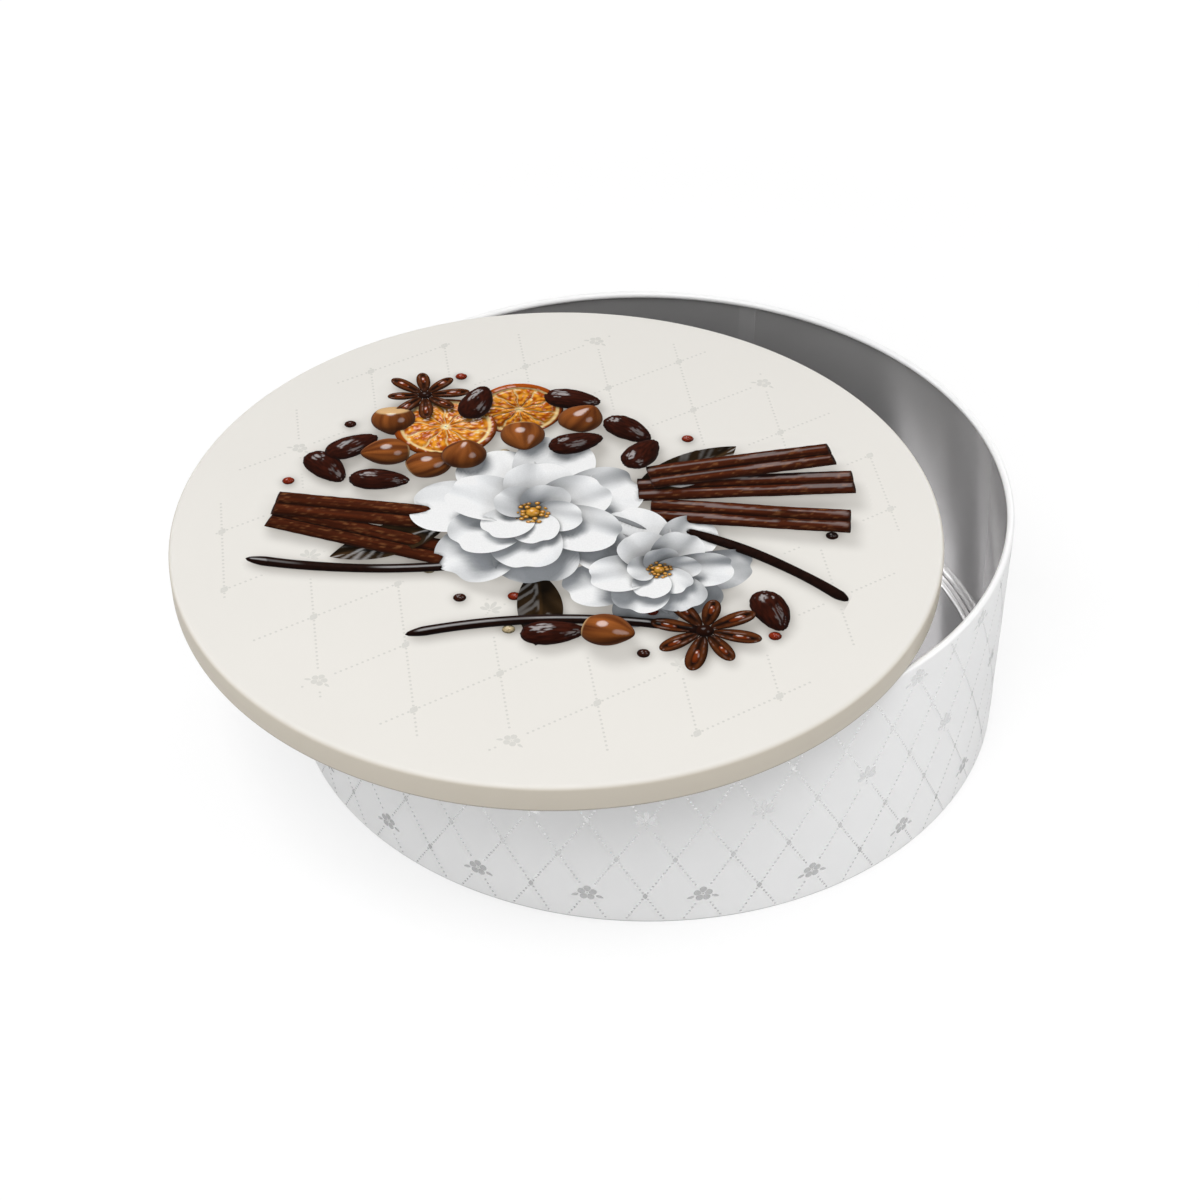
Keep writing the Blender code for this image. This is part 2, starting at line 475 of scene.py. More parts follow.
def finish_piece(bm, name, mats, body, replaced=(), sharp=40):
    """Make the mesh an object, smooth but for its sharp edges, and ride it on its body."""
    piece = as_object(bm, name, mats)
    piece.data.shade_smooth()
    piece.data.set_sharp_from_angle(angle=math.radians(sharp))
    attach(piece, body)
    if replaced:
        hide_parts(*replaced)
    print(name, len(piece.data.polygons), "faces on", body)


print("tools: spin_round, turn_sheet and finish_piece")

# %% [markdown]
# ## Wall
#
# The rim is curled inward so that no cut edge is left to touch, and it shows as a white band
# 2 mm wide. At the foot the sheet hooks in and up to catch the base.

# %% Wall
bm = bmesh.new()
# From the wall inward come a gap, the base's edge, another gap and the hook's lip
lip_x = BODY_RADIUS - 3 * SHEET - 2 * SEAT_GAP + HOOK_BEND
tip = start_line(bm, lip_x - HOOK_BEND, HOOK_HEIGHT)
tip = run_to(bm, tip, lip_x - HOOK_BEND, HOOK_BEND)
tip = bend_about(bm, tip, lip_x, HOOK_BEND, DOWN - INWARD, FOOT_STEPS)
tip = run_to(bm, tip, wall_radius - HOOK_BEND, 0.0)
tip = bend_about(bm, tip, wall_radius - HOOK_BEND, HOOK_BEND, FULL_TURN - DOWN, FOOT_STEPS)
tip = run_to(bm, tip, wall_radius, BODY_HEIGHT - RIM_CURL_RADIUS)
tip = bend_about(bm, tip, wall_radius - RIM_CURL_RADIUS, BODY_HEIGHT - RIM_CURL_RADIUS,
                 FULL_TURN - curl_opening(RIM_CURL_RADIUS), CURL_STEPS)
turn_sheet(bm, BODY_CENTRE)
finish_piece(bm, "tin_wall", (white_enamel, wall_tinplate), "tin",
             ("body_wall",))

# %% [markdown]
# ## Base
#
# A flat disc whose edge turns down into the wall's hook. It is pressed tight against the wall,
# and a low bead runs round just inside the edge. Tin makers press one in to stiffen the sheet,
# and it catches the light as the thin bright curve in the corner. That curve is also a painted
# highlight: from the bead out the disc is in the bright wall tinplate, and inside the bead it is
# in a darker copy of it, painted shade for the floor inside the tin.

# %% Base
BASE_PLAY = 0.01 * MM
BEAD_SLOPE = math.radians(30)

base_radius = wall_inside - BASE_PLAY
bm = bmesh.new()
tip = start_line(bm, base_radius, SHEET + SEAT_GAP)
tip = run_to(bm, tip, base_radius, FLOOR_HEIGHT - BASE_BEND)
tip = bend_about(bm, tip, base_radius - BASE_BEND, FLOOR_HEIGHT - BASE_BEND, UP - OUTWARD,
                 BEND_STEPS)
bead_x = base_radius - BEAD_INSET
tip = run_to(bm, tip, bead_x + BEAD_RADIUS * math.cos(BEAD_SLOPE), FLOOR_HEIGHT)
tip = bend_about(bm, tip, bead_x, FLOOR_HEIGHT - BEAD_RADIUS * math.sin(BEAD_SLOPE),
                 INWARD - 2 * BEAD_SLOPE, BEAD_STEPS)
tip = run_to(bm, tip, 0.0, FLOOR_HEIGHT)
turn_sheet(bm, BODY_CENTRE)
# From the bead out the base takes the bright wall tinplate: a painted highlight on the bead and
# edge.
for face in bm.faces:
    reach = (face.calc_center_median() - BODY_CENTRE).xy.length
    face.material_index = int(reach > bead_x - BEAD_RADIUS)
finish_piece(bm, "tin_base", (shaded_base_tinplate, wall_tinplate), "tin",
             ("base_disc",))

# %% [markdown]
# ## Lid
#
# The lid is drawn from one disc: a flat top, a rounded shoulder, a low skirt and a hem curled
# inward. Its skirt just clears the rim's outside when the tin is shut.

# %% Lid
bm = bmesh.new()
curl_x = LID_RADIUS - LID_CURL
opening = curl_opening(LID_CURL)
tip = start_line(bm, curl_x + LID_CURL * math.cos(opening), LID_CURL * (1 + math.sin(opening)))
tip = bend_about(bm, tip, curl_x, LID_CURL, FULL_TURN - opening, HEM_STEPS)
tip = run_to(bm, tip, LID_RADIUS, lid_top - LID_SHOULDER_RADIUS)
tip = bend_about(bm, tip, LID_RADIUS - LID_SHOULDER_RADIUS, lid_top - LID_SHOULDER_RADIUS,
                 UP - OUTWARD, BEND_STEPS)
tip = run_to(bm, tip, 0.0, lid_top)
turn_sheet(bm, LID_CENTRE)
finish_piece(bm, "lid_shell", (lid_enamel, shaded_lid_tinplate), "lid", ("lid",))

# %% [markdown]
# ## Side seam
#
# The wall's two ends overlap and are welded, so a flat strip stands a little proud inside, from
# the floor up to the curl. It is one block of metal: a thin profile spun through a few degrees.

# %% Side seam
SEAM_PROUD = 0.30 * MM
SEAM_SUNK = 0.05 * MM
SEAM_EASE = 0.06 * MM
SEAM_STEPS = 4
SEAM_CORNER = math.radians(60)

inner, outer = wall_inside - SEAM_PROUD, wall_inside + SEAM_SUNK
bottom, top = FLOOR_HEIGHT + SEAT_GAP, BODY_HEIGHT - 2 * RIM_CURL_RADIUS - SEAT_GAP
seam_turn = SEAM_WIDTH / BODY_RADIUS
bm = bmesh.new()
verts = [start_line(bm, x, z) for x, z in ((outer, bottom), (outer, top), (inner, top),
                                           (inner, bottom))]
bm.faces.new(verts)
bmesh.ops.rotate(bm, cent=(0, 0, 0), verts=bm.verts,
                 matrix=Matrix.Rotation(SEAM_AZIMUTH - seam_turn / 2, 3, "Z"))
spin_round(bm, seam_turn, SEAM_STEPS)
bmesh.ops.recalc_face_normals(bm, faces=bm.faces)
corners = [edge for edge in bm.edges if len(edge.link_faces) == 2
           and edge.calc_face_angle() > SEAM_CORNER]
bmesh.ops.bevel(bm, geom=corners, offset=SEAM_EASE, offset_type="OFFSET", segments=2,
                profile=0.5, affect="EDGES", material=-1)
bmesh.ops.translate(bm, vec=BODY_CENTRE, verts=bm.verts)
finish_piece(bm, "side_seam", (wall_tinplate,), "tin", sharp=20)

# %% [markdown]
# ## Inks of the lattice
#
# The lattice is printed in one quiet colour. On the white wall it is a silver ink: metal flakes
# in varnish. Seen from above it mirrors the floor, so it is grey near the foot, where the floor
# is in the tin's own shade. Its colour is also painted paler up the wall, towards the rim:
# painted reflection of the brighter floor that the higher marks mirror. Small dots take up less
# ink than the marks and come out a little paler. On the lid it is a pearl ink.

# %% Lattice inks
FLAKE = 0.08 * MM
FADE_FROM, FADE_TO = 12 * MM, 46 * MM


def flake_ink(name, colours, metallic, roughness, painted_rim_tone=None):
    """Ink with metal flakes: colours are (deepest, palest). The last argument, if given, is a
    paler colour painted in towards the rim.
    """
    mat, tree, output, place = new_material(name)
    flakes = add(tree, "ShaderNodeTexVoronoi", {"Vector": place, "Scale": per(FLAKE)})
    glint = add(tree, "ShaderNodeSeparateColor", {"Color": flakes.outputs["Color"]}).outputs[0]
    colour = add(tree, "ShaderNodeMix", {0: glint, 6: linear(colours[0]), 7: linear(colours[1])},
                 data_type="RGBA").outputs[2]
    # Painted light: the ink turns paler up the wall, a painted reflection of the brighter floor
    # that higher marks mirror.
    if painted_rim_tone:
        height = add(tree, "ShaderNodeSeparateXYZ", {"Vector": place}).outputs["Z"]
        rise = add(tree, "ShaderNodeMapRange", {0: height, 1: FADE_FROM,
                                                2: FADE_TO}).outputs[0]
        colour = add(tree, "ShaderNodeMix", {0: rise, 6: colour, 7: linear(painted_rim_tone)},
                     data_type="RGBA").outputs[2]
    sheen = add(tree, "ShaderNodeMapRange", {0: glint, 3: roughness - 0.05,
                                             4: roughness + 0.05}).outputs[0]
    ink = add(tree, "ShaderNodeBsdfPrincipled", {"Base Color": colour, "Metallic": metallic,
                                                 "Roughness": sheen})
    tree.links.new(ink.outputs[0], output.inputs["Surface"])
    return mat


silver_ink = flake_ink("silver_flake_ink", ("#CACACA", "#DCDCDC"), 1.0, 0.20, "#FCFCFC")
thin_silver_ink = flake_ink("thin_silver_flake_ink", ("#D2D2D2", "#E2E2E2"), 1.0, 0.20,
                            "#FCFCFC")
pearl_ink = flake_ink("pearl_flake_ink", ("#CECCC6", "#D8D6D0"), 0.25, 0.45)
print("made", silver_ink.name, thin_silver_ink.name, "and", pearl_ink.name)

# %% [markdown]
# ## Shapes of the lattice
#
# The dots, lozenges, rosettes and sprigs are flat shapes drawn on a plane, each from a circle
# that is stretched, pointed and moved. Dots have few corners, because there are thousands.

# %% Flat printed shapes
def lay(bm, verts, x, y, angle):
    """Turn new verts by angle and move them to (x, y) on the printing plane."""
    place = Matrix.Translation((x, y, 0.0)) @ Matrix.Rotation(angle, 4, "Z")
    bmesh.ops.transform(bm, matrix=place, verts=verts)


def dot(bm, x, y, radius, ink=0):
    """A printed dot, in the ink of that number."""
    made = bmesh.ops.create_circle(bm, cap_ends=True, radius=radius, segments=7,
                                   matrix=Matrix.Translation((x, y, 0.0)))["verts"]
    made[0].link_faces[0].material_index = ink


def lozenge(bm, x, y, width, height, angle):
    """A small diamond with soft corners, where two dotted lines cross."""
    made = bmesh.ops.create_circle(bm, cap_ends=True, radius=0.5, segments=16)["verts"]
    for vert in made:
        across, along = abs(vert.co.x) * 2, abs(vert.co.y) * 2
        vert.co /= (across ** 1.3 + along ** 1.3) ** (1 / 1.3)
    bmesh.ops.scale(bm, vec=(width, height, 1.0), verts=made)
    lay(bm, made, x, y, angle)


LEAF = (14, 0.0, -0.9)
PETAL = (12, 0.8, 0.2)


def blade(bm, shape, x, y, length, width, angle):
    """A leaf or petal that grows from (x, y): shape is its corners, and its root and tip."""
    segments, root, tip = shape
    made = bmesh.ops.create_circle(bm, cap_ends=True, radius=0.5, segments=segments)["verts"]
    for vert in made:
        vert.co.x *= 1.0 + root * min(0.0, vert.co.y) + tip * max(0.0, vert.co.y)
        vert.co.y += 0.5
    bmesh.ops.scale(bm, vec=(width, length, 1.0), verts=made)
    lay(bm, made, x, y, angle)


print("shapes: dot, lozenge and blade")

# %% Rosette and sprig
def rosette(bm, x, y, size, angle):
    """A five-petalled blossom with a leaf at each side."""
    for count in range(5):
        lean = angle + count * FULL_TURN / 5
        root = Matrix.Rotation(lean, 3, "Z") @ Vector((0.0, 0.055 * size, 0.0))
        blade(bm, PETAL, x + root.x, y + root.y, 0.27 * size, 0.25 * size, lean)
    dot(bm, x, y, 0.035 * size)
    for side in (-1, 1):
        lean = angle + side * math.radians(108)
        root = Matrix.Rotation(lean, 3, "Z") @ Vector((0.0, 0.30 * size, 0.0))
        blade(bm, LEAF, x + root.x, y + root.y, 0.26 * size, 0.12 * size, lean)


def sprig(bm, x, y, size, angle):
    """Five leaves in a fan over a row of buds."""
    turned = Matrix.Rotation(angle, 3, "Z")
    for spread, length in ((-84, 0.36), (-42, 0.46), (0, 0.54), (42, 0.46), (84, 0.36)):
        lean = math.radians(spread)
        root = turned @ Matrix.Rotation(lean, 3, "Z") @ Vector((0.0, 0.08 * size, 0.0))
        blade(bm, PETAL, x + root.x, y + root.y, length * size, 0.20 * size, angle + lean)
    for drop, bud_size in ((0.0, 0.06), (-0.16, 0.05), (-0.29, 0.04)):
        bud = turned @ Vector((0.0, drop, 0.0)) * size
        dot(bm, x + bud.x, y + bud.y, bud_size * size)


print("marks: rosette and sprig")

# %% [markdown]
# ## Lattice on the wall
#
# Printers step and repeat one panel along the sheet. The same is done here: one panel, two
# diamonds wide, is drawn flat, wrapped onto the wall and copied round it by a spin.

# %% Wall lattice's measures
PANELS = 21
ROWS = 5
ROW_PITCH = 13.0 * MM
FIRST_ROW = 9.6 * MM
PANEL_AZIMUTH = math.radians(-80.7)
DOTS_PER_SIDE = 11
WALL_DOT = 0.33 * MM
WALL_PRINT_LIFT = 0.02 * MM
LOWEST_DOT, HIGHEST_DOT = 1.2 * MM, 64.4 * MM
WALL_MARK_SIZES = {"rosette": (8.0 * MM,), "sprig": (6.8 * MM,), "lozenge": (1.4 * MM, 2.1 * MM)}

panel_angle = FULL_TURN / PANELS
column = BODY_RADIUS * panel_angle / 2


def wrap_on_wall(bm, radius):
    """Bend the printing plane round the wall: x runs round it and y runs up."""
    for vert in bm.verts:
        turn = PANEL_AZIMUTH + vert.co.x / BODY_RADIUS
        vert.co = (radius * math.cos(turn), radius * math.sin(turn), vert.co.y)


def dotted_side(bm, ends, marks, steps, radius, ink, printed):
    """Dots between two crossings, clear of their marks. printed says where a dot may be."""
    for step in range(1 + CLEARANCE[marks[0]], steps - CLEARANCE[marks[1]]):
        place = ends[0].lerp(ends[1], step / steps)
        if printed(place):
            dot(bm, place.x, place.y, radius, ink)


def wall_mark(row, half_column):
    """What is printed at a crossing: rosettes and sprigs take turns, lozenges are between."""
    if row % 2:
        return "lozenge"
    even = half_column % 4 == 0
    if row % 4 == 0:
        return "rosette" if even else "lozenge"
    return "lozenge" if even else "sprig"


MARKS = {"rosette": rosette, "sprig": sprig, "lozenge": lozenge}
CLEARANCE = {"rosette": 2, "sprig": 2, "lozenge": 0}
print("panel", round(2 * column / MM, 1), "mm wide,", PANELS, "panels")

# %% Wall lattice
bm = bmesh.new()
for row in range(-1, ROWS + 1):
    for half in range(row % 2, 4, 2):
        here = Vector((half * column / 2, FIRST_ROW + row * ROW_PITCH))
        mark = wall_mark(row, half)
        for side in (-1, 1):
            there = here + Vector((side * column / 2, ROW_PITCH))
            dotted_side(bm, (here, there), (mark, wall_mark(row + 1, half + side)),
                        DOTS_PER_SIDE, WALL_DOT, 1, lambda at: LOWEST_DOT < at.y < HIGHEST_DOT)
        if 0 <= row < ROWS:
            MARKS[mark](bm, here.x, here.y, *WALL_MARK_SIZES[mark], 0.0)
wrap_on_wall(bm, wall_radius + WALL_PRINT_LIFT)
spin_round(bm, panel_angle * (PANELS - 1), PANELS - 1, use_duplicate=True)
bmesh.ops.translate(bm, vec=BODY_CENTRE, verts=bm.verts)
finish_piece(bm, "wall_lattice_print", (silver_ink, thin_silver_ink), "tin")

# %% [markdown]
# ## Picture on the lid
#
# The middle of the lid carries a full-colour print: a white blossom among spices, nuts and
# dried orange. Flat shapes would look like clip art there, because round things need soft
# shading. So a small still life is modelled in the round, in millimetres, with u to the right,
# v up and w towards the viewer. It is lit once in code, and the light is kept as a colour on
# each vertex. At the end it is pressed flat into the few hundredths of a millimetre of ink.

# %% Still life tools
PICTURE_TURN = math.radians(-22.7)
PICTURE_SIZE = 0.88
PICTURE_SHIFT = Vector((-2.0, 4.0, 0.0))
UPWARD = Vector((0.0, 0.0, 1.0))

lid_face = LID_CENTRE.z + lid_top
picture = []


def tone(code):
    """A linear colour as a vector that can be mixed."""
    return Vector(linear(code)[:3])


def clamp(value, low=0.0, high=1.0):
    """Value kept between low and high."""
    return max(low, min(high, value))


def smooth(value, low, high):
    """From 0 at low to 1 at high by a soft step."""
    share = clamp((value - low) / (high - low))
    return share * share * (3 - 2 * share)


def rough(x, y, z, seed=0.0):
    """Noise from 0 to 1."""
    return 0.5 + 0.5 * noise.noise(Vector((x + seed, y - seed, z)))


def tint(bm, colour_at, gloss):
    """Give each vertex the motif's own colour there, and its gloss."""
    ink = bm.verts.layers.float_color.new("ink")
    shine = bm.verts.layers.float.new("shine")
    for vert in bm.verts:
        vert[ink] = (*colour_at(vert.co), 1.0)
        vert[shine] = gloss


def stand(u, v, w, turn=0, tip=0, roll=0, size=1.0):
    """Matrix of a place in the picture: millimetres, and degrees about w, then u, then v."""
    turns = [Matrix.Rotation(math.radians(angle), 4, axis)
             for angle, axis in ((turn, "Z"), (tip, "X"), (roll, "Y"))]
    return (Matrix.Translation((u, v, w)) @ turns[0] @ turns[1] @ turns[2]
            @ Matrix.Scale(size, 4))


def arrange(bm, group, place, sheet=False):
    """Put a motif in the picture. A sheet shows both of its sides."""
    bmesh.ops.transform(bm, matrix=place, verts=bm.verts)
    picture.append((group, bm, sheet))


print("a still life in millimetres, pressed flat later")

# %% [markdown]
# ### Blossom
#
# A petal is a disc that is narrowed towards its root, cupped across and bent along its length.
# The disc is a grid pushed into the round, so that it has no crowded middle. Three rings of
# petals stand steeper and steeper towards the middle, each rolled to lie over its neighbour.

# %% Petals
WHITE, BLUSH = tone("#F6F7F9"), tone("#EBD9A8")


def disc(bm, across, along):
    """A grid pushed into a round disc of radius 1, with across and along cells."""
    bmesh.ops.create_grid(bm, x_segments=across, y_segments=along, size=1.0)
    for vert in bm.verts:
        x, y = vert.co.x, vert.co.y
        vert.co = (x * math.sqrt(1 - y * y / 2), y * math.sqrt(1 - x * x / 2), 0.0)


def petal(length, width, rise, fall, seed):
    """One petal: rise is its slope at the root and fall its slope at the tip, in degrees."""
    bm = bmesh.new()
    disc(bm, 24, 30)
    start, end = math.radians(rise), math.radians(fall)
    for vert in bm.verts:
        across, along = vert.co.x, (vert.co.y + 1) / 2
        half = across * width / 2 * (0.40 + 0.75 * along ** 0.7)
        slope = start + (end - start) * along / 2
        fold = 0.009 * width * math.sin(8 * across + seed) * along
        cup = 0.17 * width * across ** 2 * (1 - 0.3 * along) + fold
        ruffle = 0.05 * width * along ** 4 * math.sin(5.2 * across + 2.0 * seed)
        reach = length * along * (1 - 0.05 * math.exp(-(across * 5) ** 2) * along ** 5)
        vert.co = (half, reach * math.cos(slope) - cup * math.sin(slope),
                   reach * math.sin(slope) + cup * math.cos(slope) + ruffle)

    def colour(place):
        reach = place.length / length
        angle = math.atan2(place.x, max(place.y, 0.1))
        vein = rough(angle * 14, reach * 1.2, seed, seed)
        warm = 0.75 * (1 - smooth(reach, 0.10, 0.42))
        return WHITE.lerp(BLUSH, warm) * (0.93 + 0.07 * vein)

    tint(bm, colour, 0.10)
    return bm


print("petal: white", tuple(round(value, 2) for value in WHITE))

# %% Blossom
AMBER, GOLD = tone("#B9701F"), tone("#E9B24C")
STAMENS = ((1, 0.0, 14.0, 3.0), (8, 3.6, 16.0, 1.0), (12, 5.6, 15.5, 0.95),
           (15, 7.6, 14.5, 0.9))
PETALS = ((7, 42, 34, 22, -22, 2.0, 8), (6, 33, 29, 44, -4, 6.0, 30),
          (5, 22, 20, 62, 22, 9.0, 10))


def blossom(place):
    """Three rings of petals and a tuft of stamens."""
    for count, length, width, rise, fall, height, offset in PETALS:
        for step in range(count):
            turn = offset + 360 / count * step + 5 * math.sin(2.1 * step + offset)
            grown = 1.0 + 0.08 * math.sin(2.4 * step + offset)
            out = Matrix.Rotation(math.radians(turn), 3, "Z") @ Vector((0.0, 2.0, height))
            arrange(petal(length * grown, width, rise, fall, step * 1.7 + offset), "blossom",
                    place @ stand(out.x, out.y, out.z, turn, 4 * math.sin(step * 1.9), 10), True)
    for count, ring, lift, grain in STAMENS:
        for step in range(count):
            bm = bmesh.new()
            bmesh.ops.create_icosphere(bm, subdivisions=4 if count == 1 else 3, radius=grain)
            tint(bm, lambda at: AMBER.lerp(GOLD, rough(at.x, at.y, at.z, step)), 0.5)
            angle = FULL_TURN * (step + 0.4 * math.sin(step * 5.0)) / count
            reach = ring * (1 + 0.12 * math.sin(step * 3.1))
            arrange(bm, "blossom", place @ stand(reach * math.cos(angle),
                                                 reach * math.sin(angle), lift))


blossom(stand(-6.0, -4.0, 4.0, 0, 0, 0, 0.84))
blossom(stand(37.0, -13.0, 3.0, 30, 12, 10, 0.64))
print("blossoms:", len(picture), "petals and stamens")

# %% [markdown]
# ### Nuts, beans and spices
#
# Nuts and beans are spheres that are stretched and pinched. A stick of cinnamon is two rolls of
# bark side by side, and a vanilla pod is a ring of points spun along a wide arc, so that it
# bends. Star anise is one boat-shaped seed case, copied round by a spin. An orange slice is a
# line spun into a disc, which then gets its rind and its bulging segments.

# %% Hazelnut and cocoa bean
NUT_RADIUS, NUT_CAP, CAP_HEIGHT = 7.0, -0.72, -5.33
BEAN_HALF = (9.2, 5.2, 3.9)


def hazelnut(seed):
    """A shell with a point at one end and a dull cap at the other."""
    bm = bmesh.new()
    bmesh.ops.create_icosphere(bm, subdivisions=5, radius=NUT_RADIUS)
    for vert in bm.verts:
        height = vert.co.z / NUT_RADIUS
        vert.co.z = 7.4 * height + 1.7 * max(0.0, height) ** 8
        if height < NUT_CAP:
            vert.co.z = CAP_HEIGHT + (height - NUT_CAP) * 2.0
    shell, light, cap = tone("#4A2210"), tone("#9C5A2A"), tone("#CFA878")

    def colour(place):
        angle = math.atan2(place.y, place.x)
        streak = rough(2.6 * math.cos(angle), 2.6 * math.sin(angle), place.z * 0.06, seed)
        fine = rough(11 * math.cos(angle), 11 * math.sin(angle), place.z * 0.15, seed)
        body = shell.lerp(light, clamp(0.65 * smooth(streak, 0.2, 0.8) + 0.35 * fine))
        return body.lerp(cap, 1 - smooth(place.z, -5.2, -4.4))

    tint(bm, colour, 0.55)
    return bm


def cocoa_bean(seed):
    """A flat almond shape with a wrinkled skin."""
    bm = bmesh.new()
    bmesh.ops.create_icosphere(bm, subdivisions=5, radius=1.0)
    for vert in bm.verts:
        x, y, z = vert.co
        pinch = 1 - 0.22 * x
        wrinkle = 0.30 * noise.noise(Vector((x * 2.2 + seed, y * 7, z * 7)))
        half = (x * BEAN_HALF[0], y * BEAN_HALF[1] * pinch, z * BEAN_HALF[2] * pinch)
        vert.co = Vector(half) * (1 + 0.16 * wrinkle)
    dark, red = tone("#140705"), tone("#431C11")
    tint(bm, lambda place: dark.lerp(red, rough(place.x * 0.35, place.y * 1.3, place.z, seed)),
         0.45)
    return bm


print("motifs: hazelnut and cocoa bean")

# %% Cinnamon
ROLL_RADIUS, ROLL_OFFSET = 3.0, 2.7


def cinnamon(length, seed):
    """Two rolls of bark side by side, with hollow ends."""
    bm = bmesh.new()
    for side in (-1, 1):
        made = bmesh.ops.create_cone(
            bm, cap_ends=True, segments=28, radius1=ROLL_RADIUS, radius2=ROLL_RADIUS,
            depth=length, matrix=Matrix.Translation((side * ROLL_OFFSET, 0.0, 0.0)))["verts"]
        ends = [face for face in {face for vert in made for face in vert.link_faces}
                if len(face.verts) > 4]
        bmesh.ops.inset_region(bm, faces=ends, thickness=1.1)
        for face in ends:
            bmesh.ops.translate(bm, vec=-ROLL_RADIUS * face.normal, verts=face.verts)
    long_edges = [edge for edge in bm.edges if edge.calc_length() > length * 0.9]
    bmesh.ops.subdivide_edges(bm, edges=long_edges, cuts=int(length * 1.3))
    for vert in bm.verts:
        middle = ROLL_OFFSET if vert.co.x > 0 else -ROLL_OFFSET
        spoke = Vector((vert.co.x - middle, vert.co.y, 0.0))
        bark = noise.noise(Vector((spoke.x * 0.9 + seed, spoke.y * 0.9, vert.co.z * 0.05)))
        flake = noise.noise(Vector((spoke.x * 2.5, spoke.y * 2.5 + seed, vert.co.z * 0.35)))
        vert.co += spoke * (0.10 * bark + 0.05 * flake)
        vert.co.x += 1.0 * math.sin(vert.co.z * 0.02 + seed)
    deep, warm, pale = tone("#1E0B06"), tone("#5C2A15"), tone("#A06A42")

    def colour(place):
        streak = rough(place.x * 1.5, place.y * 1.5, place.z * 0.05, seed)
        fleck = rough(place.x * 3, place.y * 3, place.z * 0.5, seed + 5)
        return deep.lerp(warm, streak).lerp(pale, 0.35 * smooth(fleck, 0.6, 0.8))

    tint(bm, colour, 0.18)
    bmesh.ops.transform(bm, matrix=stand(0, 0, 0, 0, 90, 90), verts=bm.verts)
    return bm


print("motif: cinnamon")

# %% Vanilla pod
POD_RADIUS, POD_STEPS = 2.1, 110


def vanilla(length, bend, seed):
    """A long thin pod, bent on a circle of radius bend and drawn to a point at both ends."""
    bm = bmesh.new()
    upright = Matrix.Translation((bend, 0, 0)) @ Matrix.Rotation(math.radians(90), 4, "X")
    bmesh.ops.create_circle(bm, radius=POD_RADIUS, segments=18, matrix=upright)
    sweep = length / bend
    spin_round(bm, sweep, POD_STEPS)
    for vert in bm.verts:
        turn = math.atan2(vert.co.y, vert.co.x)
        along = clamp(turn / sweep)
        heart = Vector((bend * math.cos(turn), bend * math.sin(turn), 0.0))
        spoke = vert.co - heart
        ridge = noise.noise(Vector((spoke.length, 3.0 * math.atan2(spoke.z, spoke.dot(heart)),
                                    along * 3 + seed)))
        taper = min(1.0, (along * (1 - along) * 16) ** 0.5 + 0.05)
        vert.co = heart + spoke * taper * (1 + 0.16 * ridge)
    open_edges = [edge for edge in bm.edges if edge.is_boundary]
    bmesh.ops.holes_fill(bm, edges=open_edges, sides=0)
    bmesh.ops.recalc_face_normals(bm, faces=bm.faces)
    bmesh.ops.translate(bm, vec=(-bend * math.cos(sweep / 2), -bend * math.sin(sweep / 2), 0),
                        verts=bm.verts)
    black, brown = tone("#0C0504"), tone("#26120C")
    tint(bm, lambda place: black.lerp(brown, rough(place.x * 0.8, place.y * 0.8, place.z, seed)),
         0.5)
    return bm


print("motif: vanilla pod")

# %% Star anise
CASES = 8


def star_anise(seed):
    """Eight boat-shaped cases round a middle, each split open over a glossy seed."""
    bm = bmesh.new()
    bmesh.ops.create_icosphere(bm, subdivisions=4, radius=1.0)
    for vert in bm.verts:
        x, y, z = vert.co
        split = math.exp(-(y / 0.24) ** 2) * smooth(z, 0.0, 0.5) * (1 - smooth(abs(x), 0.6, 0.95))
        vert.co = (8.2 + x * 6.4, y * (2.5 + 0.5 * x), z * 2.6 - 3.2 * split + 0.8 * x)
    wood, edge = tone("#240F07"), tone("#743F20")
    tint(bm, lambda place: wood.lerp(edge, 0.65 * rough(place.x, place.y * 1.5, place.z, seed)
                                     + 0.35 * smooth(place.z, 0.8, 2.6)), 0.16)
    ink, shine = bm.verts.layers.float_color["ink"], bm.verts.layers.float["shine"]
    grain = bmesh.ops.create_icosphere(bm, subdivisions=3, radius=1.0)["verts"]
    bmesh.ops.scale(bm, vec=(2.3, 1.25, 1.1), verts=grain)
    bmesh.ops.translate(bm, vec=(9.6, 0.0, 0.9), verts=grain)
    for vert in grain:
        vert[ink], vert[shine] = (*tone("#7A3413"), 1.0), 0.9
    spin_round(bm, FULL_TURN * (CASES - 1) / CASES, CASES - 1, use_duplicate=True)
    hub = bmesh.ops.create_icosphere(bm, subdivisions=4, radius=2.4)["verts"]
    for vert in hub:
        vert[ink], vert[shine] = (*wood, 1.0), 0.16
    for vert in bm.verts:
        reach = math.hypot(vert.co.x, vert.co.y)
        angle = math.atan2(vert.co.y, vert.co.x)
        vert.co *= 1 + 0.10 * math.sin(3 * angle + seed) * smooth(reach, 3, 12)
    return bm


print("motif: star anise")

# %% Orange slice
HEART, ORANGE_RADIUS, ORANGE_RINGS = 0.3, 15.5, 30
ORANGE_SEGMENTS = 10


